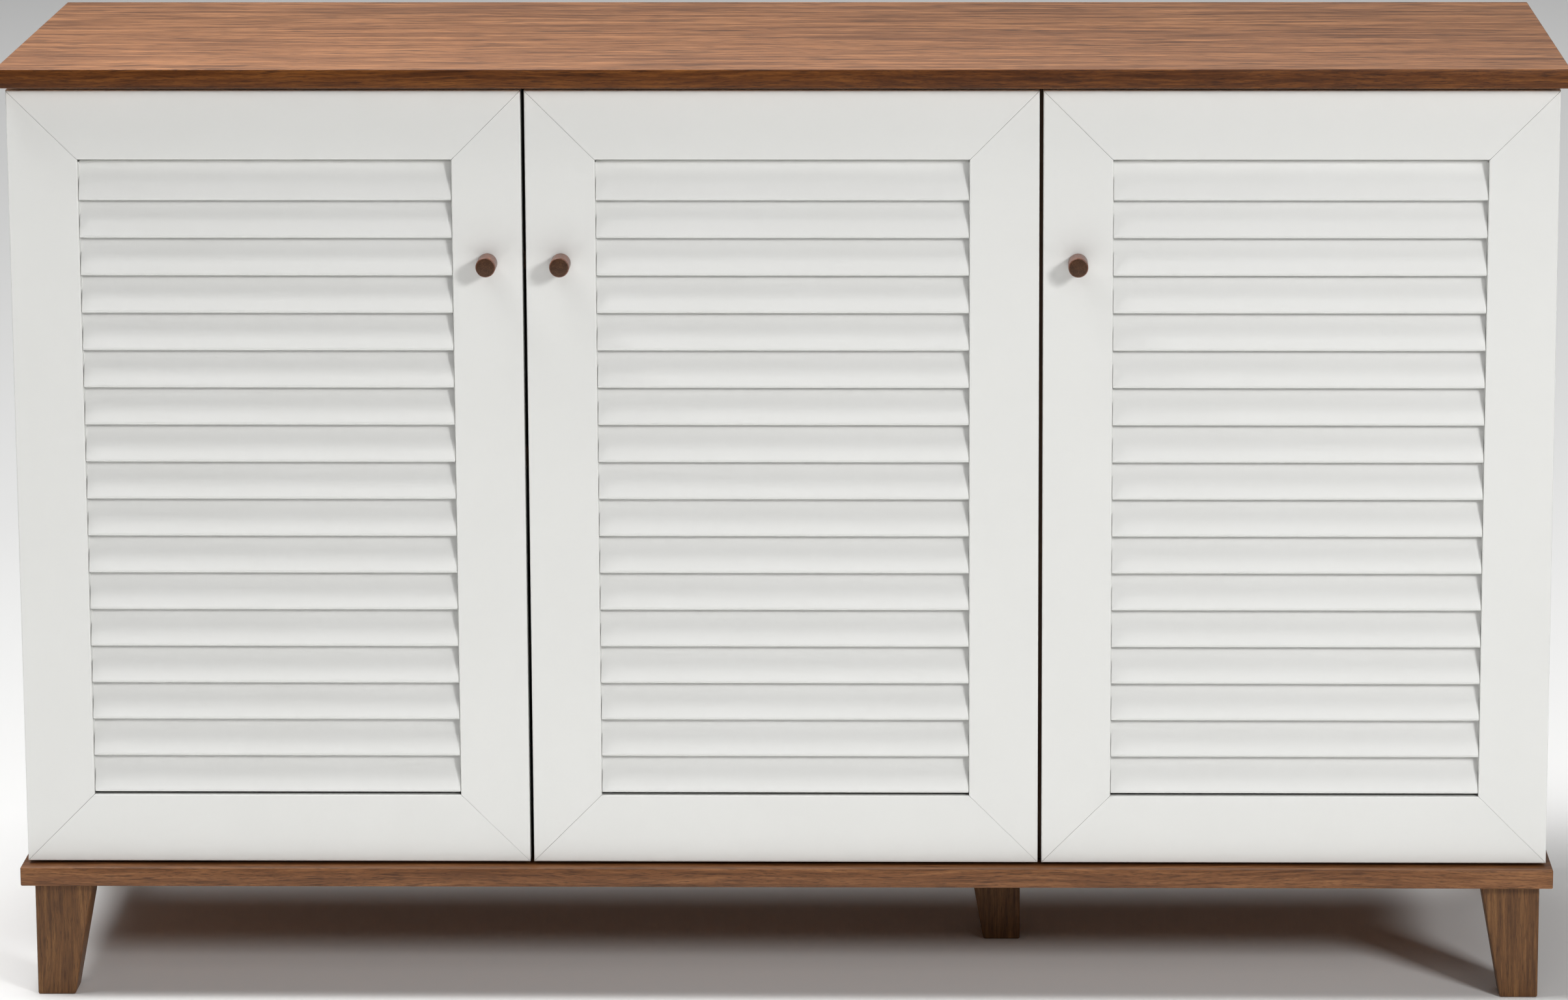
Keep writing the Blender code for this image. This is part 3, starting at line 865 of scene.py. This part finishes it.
@dataclass
class ShelfPegs:
    """Nickel pegs, four under each shelf, that hold it between two uprights."""

    shelf: str
    stem: float = 2.5 * MM
    length: float = 9 * MM
    collar: float = 3.6 * MM
    collar_length: float = 1.2 * MM
    gap: float = 0.3 * MM
    from_end: float = 40 * MM
    tip_round: float = 0.35 * MM
    facets: int = 28

    def peg(self, name: str) -> bpy.types.Object:
        """Model one peg at the origin, with its collar at x = 0 and its stem along +X.

        Args:
            name: the peg's name.

        Returns:
            The peg.
        """
        clear_selection()
        bpy.ops.mesh.primitive_cylinder_add(vertices=self.facets, radius=self.collar,
                                            depth=self.collar_length,
                                            location=(self.collar_length / 2, 0, 0),
                                            rotation=(0, math.pi / 2, 0))
        peg = settle(bpy.context.object)
        peg.name = name
        select_where(peg, "FACE", lambda f, m: f.normal.x > 0.9)
        bpy.ops.mesh.inset(thickness=self.collar - self.stem)
        bpy.ops.mesh.extrude_region_move(
            TRANSFORM_OT_translate={"value": (self.length - self.collar_length, 0, 0)})
        end_edit()
        bevel_edges(peg, self.tip_round, 3, lambda e, m: all(
            abs(m.vertices[i].co.x - self.length) < FLUSH for i in e.vertices))
        smooth(peg)
        return peg

    def build(self, finishes: dict[str, bpy.types.Material]) -> bpy.types.Object:
        """Model one peg and set four of it under the shelf.

        Args:
            finishes: the finished materials.

        Returns:
            The four pegs as one piece.
        """
        low, high = (Vector(c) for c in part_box(self.shelf))
        first = self.peg(f"{self.shelf}_peg")
        pegs = []
        height = low.z - self.gap - self.collar
        for at_y in (low.y + self.from_end, high.y - self.from_end):
            for side, wall in ((1, low.x), (-1, high.x)):
                peg = copy_of(first, f"{self.shelf}_peg_set", Vector((0, 0, 0)))
                turn = Matrix.Rotation(0.0 if side > 0 else math.pi, 4, "Z")
                peg.data.transform(Matrix.Translation((wall, at_y, height)) @ turn)
                pegs.append(peg)
        bpy.data.objects.remove(first)
        row = join(pegs, f"{self.shelf}_pegs")
        dress(row, finishes["nickel"])
        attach(row, "carcass")
        return row


@dataclass
class PanelPins:
    """Small round-headed pins that hold a back panel to the uprights and boards."""

    panel: str
    head: float = 2.2 * MM
    proud: float = 0.5 * MM
    inset: float = 6 * MM
    spacing: float = 110 * MM
    round_share: float = 0.7
    clear: float = 0.02 * MM
    facets: int = 16

    def places(self, low: Vector, high: Vector) -> list[tuple[float, float]]:
        """Spread the pins round the panel's edge.

        Args:
            low: the panel's lowest corner.
            high: the panel's highest corner.

        Returns:
            The x and z of every pin.
        """
        xs = (low.x + self.inset, high.x - self.inset)
        zs = (low.z + self.inset, high.z - self.inset)
        across = max(2, round((xs[1] - xs[0]) / self.spacing))
        up = max(2, round((zs[1] - zs[0]) / self.spacing))
        rows = [(xs[0] + (xs[1] - xs[0]) * i / across, z)
                for i in range(across + 1) for z in zs]
        sides = [(x, zs[0] + (zs[1] - zs[0]) * i / up) for i in range(1, up) for x in xs]
        return rows + sides

    def build(self, finishes: dict[str, bpy.types.Material]) -> bpy.types.Object:
        """Model one pin head and copy it round the panel.

        Args:
            finishes: the finished materials.

        Returns:
            The pins as one piece.
        """
        low, high = (Vector(c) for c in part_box(self.panel))
        clear_selection()
        bpy.ops.mesh.primitive_cylinder_add(vertices=self.facets, radius=self.head,
                                            depth=self.proud,
                                            location=(0, self.proud / 2, 0),
                                            rotation=(math.pi / 2, 0, 0))
        pin = settle(bpy.context.object)
        bevel_edges(pin, self.proud * self.round_share, 2, lambda e, m: all(
            m.vertices[i].co.y > self.proud - FLUSH for i in e.vertices))
        smooth(pin, 50)
        pins = [copy_of(pin, f"{self.panel}_pin", Vector((x, high.y + self.clear, z)))
                for x, z in self.places(low, high)]
        bpy.data.objects.remove(pin)
        row = join(pins, f"{self.panel}_pins")
        dress(row, finishes["nickel"])
        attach(row, "carcass")
        return row


@dataclass
class Cabinet:
    """The whole cabinet: which CAD nodes stay, and which pieces stand for them."""

    doors: tuple[str, ...] = ("left_door", "middle_door", "right_door")
    legs: tuple[str, ...] = ("front_left_leg", "front_right_leg", "rear_left_leg",
                             "rear_right_leg", "middle_leg")

    def dress_frame(self, finishes: dict[str, bpy.types.Material]) -> None:
        """Give every kept CAD node its finish.

        Args:
            finishes: the finished materials.
        """
        for name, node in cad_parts.items():
            if name.endswith(("_arm", "_cup", "_screw")):
                finish = "nickel"
            elif name.startswith("back_panel"):
                finish = "back"
            elif "shelf" in name:
                finish = "carcass_flat"
            elif name.endswith(("side_panel", "partition_panel")):
                finish = "carcass_up"
            elif "_door_" in name:
                finish = "door"
            else:
                finish = "base_board"
            dress(node, finishes[finish])

    def build(self, finishes: dict[str, bpy.types.Material]) -> None:
        """Build every piece in order.

        Args:
            finishes: the finished materials.
        """
        self.dress_frame(finishes)
        pieces = [EdgedBoard("top_panel", "top_board", "walnut_board", "top_face",
                             "top_edge"),
                  EdgedBoard("base_panel", "base_board", "walnut_board", "base_board",
                             "base_board")]
        pieces += [Leg(node) for node in self.legs]
        for door in self.doors:
            pieces += [Louvres(door), MitreJoints(door), Knob(door)]
        pieces += [ShelfPegs(name) for name in sorted(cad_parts) if "_shelf_" in name]
        pieces += [PanelPins("back_panel_wide"), PanelPins("back_panel_narrow")]
        for piece in pieces:
            made = piece.build(finishes)
            LOG.info("%s: %d faces", made.name, len(made.data.polygons))


# ---------------------------------------------------------------- stage


@dataclass(frozen=True)
class Softbox:
    """A rectangular lamp that looks at its aim, by default the middle of the cabinet.

    Azimuth is in degrees to the right of straight ahead, elevation in degrees
    above the floor, and the rest in watts and metres.
    """

    name: str
    watts: float
    wide: float
    tall: float
    azimuth: float
    elevation: float
    distance: float
    aim: tuple[float, float, float] = (0, 0, 0.37)
    colour: str = "ffffff"

    def add(self) -> None:
        """Add the lamp to the scene."""
        light = bpy.data.lights.new(self.name, "AREA")
        light.energy = self.watts
        light.shape = "RECTANGLE"
        light.size = self.wide
        light.size_y = self.tall
        light.color = linear(self.colour)[:3]
        lamp = bpy.data.objects.new(self.name, light)
        a, e = math.radians(self.azimuth), math.radians(self.elevation)
        away = Vector((math.sin(a) * math.cos(e), -math.cos(a) * math.cos(e), math.sin(e)))
        lamp.location = Vector(self.aim) + away * self.distance
        lamp.rotation_euler = away.to_track_quat("Z", "Y").to_euler()
        bpy.context.scene.collection.objects.link(lamp)


@dataclass
class Studio:
    """A pale floor, soft light and the camera.

    The key lamp from the right front shades the slats, the overhead lamp from the left
    lights the top, the front lamp evens out the doors and the backdrop lamp lights the
    floor behind.
    """

    lens: float = 146.03
    camera_x: float = 0.1524
    camera_y: float = -4.9926
    camera_z: float = 1.4024
    pitch: float = math.radians(11.794)
    yaw: float = math.radians(-0.918)
    roll: float = math.radians(0.126)
    shift_x: float = -0.0620
    sensor: float = 36.0
    floor_size: float = 60.0
    sky: float = 0.055
    lamps: tuple[Softbox, ...] = (
        Softbox("key_lamp", watts=110.0, wide=0.9, tall=0.9, azimuth=36, elevation=22,
                distance=5.2),
        Softbox("front_lamp", watts=20.0, wide=3.2, tall=1.8, azimuth=4, elevation=34,
                distance=4.6),
        Softbox("overhead_lamp", watts=108.0, wide=0.9, tall=2.2, azimuth=-73,
                elevation=70.5, distance=3.13),
        Softbox("backdrop_lamp", watts=130.0, wide=7.0, tall=3.6, azimuth=0, elevation=90,
                distance=4.5, aim=(0, 4.6, 0)))

    def add_floor(self) -> None:
        """Add the pale floor."""
        clear_selection()
        bpy.ops.mesh.primitive_plane_add(size=self.floor_size, location=(0, 0, 0))
        floor = bpy.context.object
        floor.name = "pale_floor"
        material, _, shader = blank_material("pale_floor_paint")
        shader.inputs["Base Color"].default_value = linear("f7f7f6")
        shader.inputs["Roughness"].default_value = 0.9
        dress(floor, material)

    def add_sky(self) -> None:
        """Fill the shadows with an even pale sky."""
        world = bpy.data.worlds.new("studio_sky")
        world.use_nodes = True
        background = world.node_tree.nodes["Background"]
        background.inputs["Color"].default_value = linear("fdfdff")
        background.inputs["Strength"].default_value = self.sky
        bpy.context.scene.world = world

    def add_camera(self) -> None:
        """Add the camera, well in front and a little above."""
        data = bpy.data.cameras.new("studio_camera")
        data.lens = self.lens
        data.sensor_width = self.sensor
        data.shift_x = self.shift_x
        data.dof.use_dof = False
        camera = bpy.data.objects.new("studio_camera", data)
        camera.location = (self.camera_x, self.camera_y, self.camera_z)
        forward = Vector((math.sin(self.yaw) * math.cos(self.pitch),
                          math.cos(self.yaw) * math.cos(self.pitch), -math.sin(self.pitch)))
        turn = (-forward).to_track_quat("Z", "Y")
        camera.rotation_mode = "QUATERNION"
        camera.rotation_quaternion = turn @ Matrix.Rotation(-self.roll, 4, "Z").to_quaternion()
        bpy.context.scene.collection.objects.link(camera)
        bpy.context.scene.camera = camera

    def build(self) -> None:
        """Build the stage."""
        self.add_floor()
        self.add_sky()
        for lamp in self.lamps:
            lamp.add()
        self.add_camera()
        bpy.context.scene.view_settings.view_transform = "Standard"


def main() -> None:
    """Build the cabinet's looks and its stage."""
    finishes = Finishes().build_all()
    Cabinet().build(finishes)
    Studio().build()


if __name__ == "__main__":
    main()
